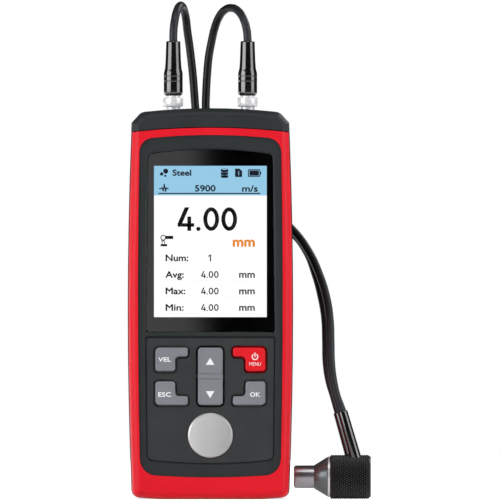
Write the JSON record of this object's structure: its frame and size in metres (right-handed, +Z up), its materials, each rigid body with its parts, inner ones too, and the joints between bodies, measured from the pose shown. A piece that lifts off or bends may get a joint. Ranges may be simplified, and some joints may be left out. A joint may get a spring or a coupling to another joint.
{
  "type": "ultrasonic thickness gauge",
  "caption": "Hand-held ultrasonic wall-thickness gauge with colour display, keys and calibration disc, and a twin-lead probe plugged into its end cap",
  "frame": {"origin": "centre of the flat end that the case stands on, level with the floor", "axes": "+Z up along the case, the display and keys face -Y, +X to the right of a person facing the keys"},
  "size_m": [0.0929, 0.0394, 0.1899],
  "materials": {
    "dark_plastic": "moulded, fine grain",
    "red_rubber": "soft-touch, satin",
    "screw_steel": "plated",
    "window": "gloss, black printed border",
    "lcd": "colour display",
    "panel_plastic": "matte",
    "key_grey": "satin",
    "key_red": "satin",
    "disc_steel": "ground face, bright rim",
    "silicone": "matte",
    "board": "solder mask",
    "cell_can": "wrapped can",
    "contact_steel": "nickel plated",
    "plug_metal": "plated",
    "nut_brass": "plain",
    "lead_jacket": "extruded",
    "sleeve_chrome": "bright",
    "boot_rubber": "gloss moulded",
    "cord_jacket": "satin extruded",
    "cap_black": "black anodised, knurled",
    "probe_steel": "turned",
    "delay_resin": "lapped",
    "barrier": "cork",
    "crystal": "fired ceramic",
    "backing": "cast"
  },
  "bodies": {
    "gauge": {"front_case": "dark_plastic", "front_bumper": "red_rubber", "rear_case": "dark_plastic", "top_cap": "dark_plastic", "case_screws": "screw_steel", "display_window": "window", "lcd_panel": "lcd", "key_panel": "panel_plastic", "calibration_disc": "disc_steel", "keypad_mat": "silicone", "main_board": "board", "board_screws": "screw_steel", "battery_1": "cell_can", "battery_2": "cell_can", "battery_3": "cell_can", "battery_springs": "contact_steel", "battery_plates": "contact_steel", "socket_left": "plug_metal", "socket_right": "plug_metal", "socket_nut_left": "nut_brass", "socket_nut_right": "nut_brass", "lead_left": "lead_jacket", "lead_right": "lead_jacket", "plug_left": "plug_metal", "plug_right": "plug_metal", "plug_boot_left": "boot_rubber", "plug_boot_right": "boot_rubber", "cord_left": "cord_jacket", "cord_right": "cord_jacket", "probe_boot": "boot_rubber", "probe_cap": "cap_black", "probe_body": "probe_steel", "delay_block_send": "delay_resin", "delay_block_receive": "delay_resin", "acoustic_barrier": "barrier", "crystal_send": "crystal", "crystal_receive": "crystal", "probe_backing": "backing"},
    "vel_key": {"vel_key": "key_grey"},
    "esc_key": {"esc_key": "key_grey"},
    "menu_key": {"menu_key": "key_red"},
    "ok_key": {"ok_key": "key_grey"},
    "rocker_key": {"rocker_key": "key_grey"},
    "battery_door": {"battery_door": "dark_plastic"},
    "release_sleeve_left": {"release_sleeve_left": "sleeve_chrome"},
    "release_sleeve_right": {"release_sleeve_right": "sleeve_chrome"}
  },
  "joints": [
    {"name": "vel_press", "type": "slide", "parent": "gauge", "child": "vel_key", "axis": [0, 1, 0], "range_m": [0, 0.0007], "stiffness_N_per_m": 1500},
    {"name": "esc_press", "type": "slide", "parent": "gauge", "child": "esc_key", "axis": [0, 1, 0], "range_m": [0, 0.0007], "stiffness_N_per_m": 1500},
    {"name": "menu_press", "type": "slide", "parent": "gauge", "child": "menu_key", "axis": [0, 1, 0], "range_m": [0, 0.0007], "stiffness_N_per_m": 1500},
    {"name": "ok_press", "type": "slide", "parent": "gauge", "child": "ok_key", "axis": [0, 1, 0], "range_m": [0, 0.0007], "stiffness_N_per_m": 1500},
    {"name": "rocker_tilt", "type": "hinge", "parent": "gauge", "child": "rocker_key", "pos_m": [0, -0.0106, 0.0469], "axis": [1, 0, 0], "range_deg": [-3, 3], "stiffness_Nm_per_rad": 0.24},
    {"name": "battery_door_hinge", "type": "hinge", "parent": "gauge", "child": "battery_door", "pos_m": [0, 0.0141, 0.069], "axis": [1, 0, 0], "range_deg": [0, 55]},
    {"name": "release_sleeve_left_pull", "type": "slide", "parent": "gauge", "child": "release_sleeve_left", "axis": [0, 0, 1], "range_m": [0, 0.0006], "stiffness_N_per_m": 800},
    {"name": "release_sleeve_right_pull", "type": "slide", "parent": "gauge", "child": "release_sleeve_right", "axis": [0, 0, 1], "range_m": [0, 0.0006], "stiffness_N_per_m": 800}
  ]
}
